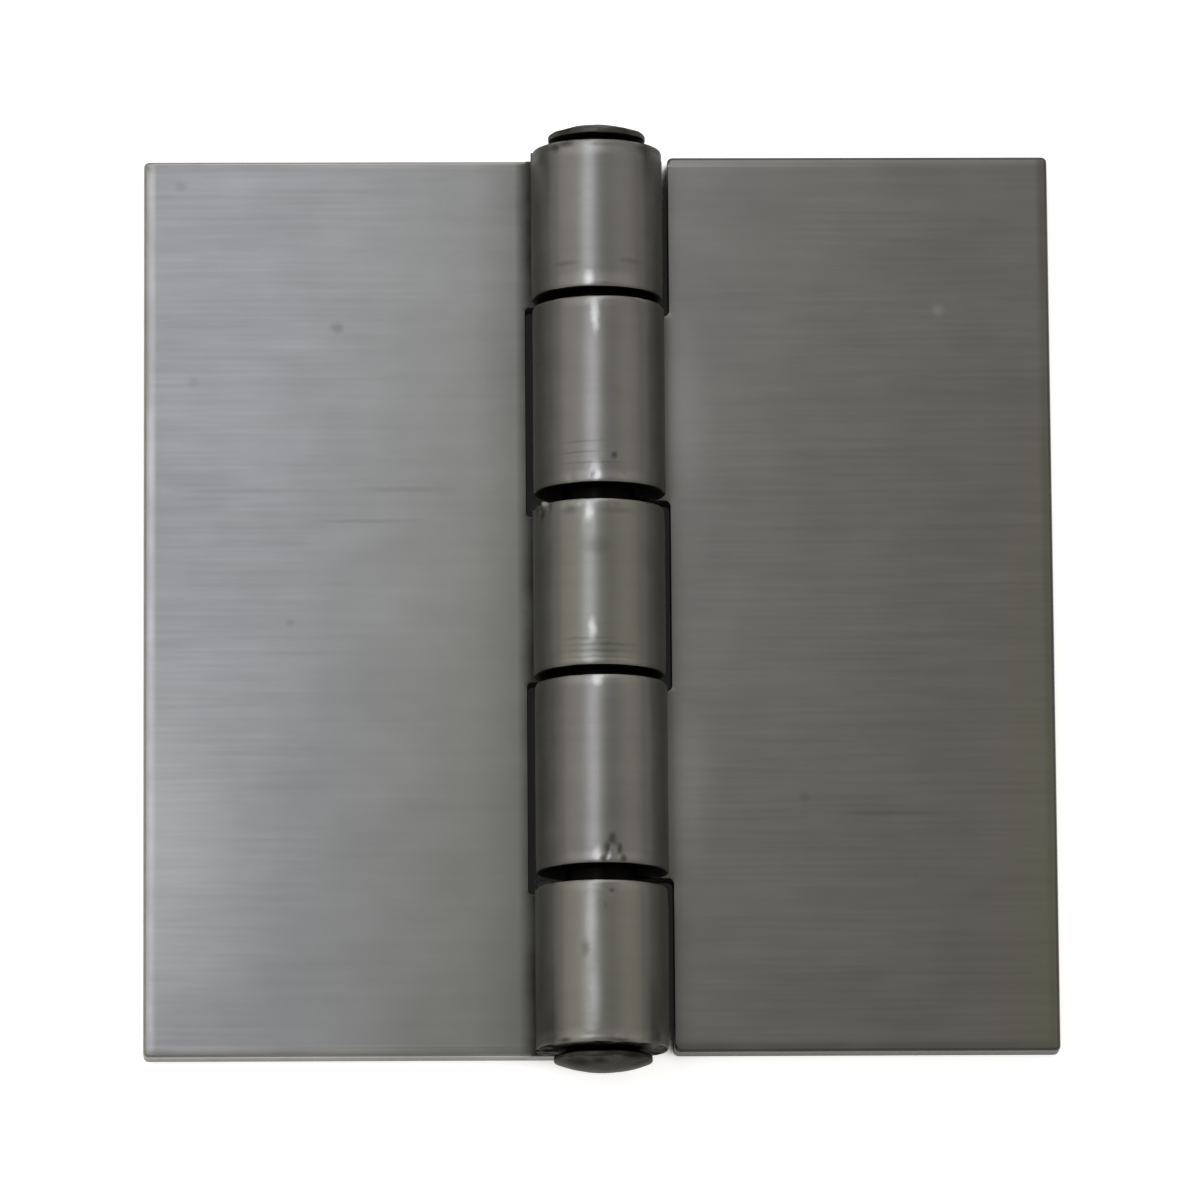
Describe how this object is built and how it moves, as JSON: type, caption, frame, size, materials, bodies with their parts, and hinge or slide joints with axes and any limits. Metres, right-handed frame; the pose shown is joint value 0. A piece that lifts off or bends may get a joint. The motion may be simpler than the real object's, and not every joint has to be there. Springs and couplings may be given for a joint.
{
  "type": "weld-on hinge",
  "caption": "Square steel butt hinge to be welded on: two plain leaves without holes, rolled knuckles and a captive riveted pin.",
  "frame": {"origin": "on the plane of the two leaves' backs, under the pin's axis, at half of the left leaf's length", "axes": "+Y along the pin, +X from the pin towards the leaf with two knuckles, +Z from the flat backs towards the barrel"},
  "size_m": [0.1016, 0.1069, 0.0148],
  "materials": {
    "left_leaf_steel": "bare rolled strip, satin, with a faint grain across the leaf",
    "right_leaf_steel": "bare rolled strip, satin, with a faint grain across the leaf",
    "pin_steel": "bare drawn rod, with upset heads"
  },
  "bodies": {
    "left": {"left_leaf": "left_leaf_steel"},
    "right": {"right_leaf": "right_leaf_steel"},
    "pin": {"hinge_pin": "pin_steel"}
  },
  "joints": [
    {"name": "leaf_swing", "type": "hinge", "parent": "left", "child": "right", "pos_m": [0, 0, 0.00742], "axis": [0, -1, 0], "range_deg": [-94, 188]},
    {"name": "pin_turn", "type": "hinge", "parent": "left", "child": "pin", "pos_m": [0, 0, 0.00742], "axis": [0, 1, 0], "continuous": true}
  ]
}
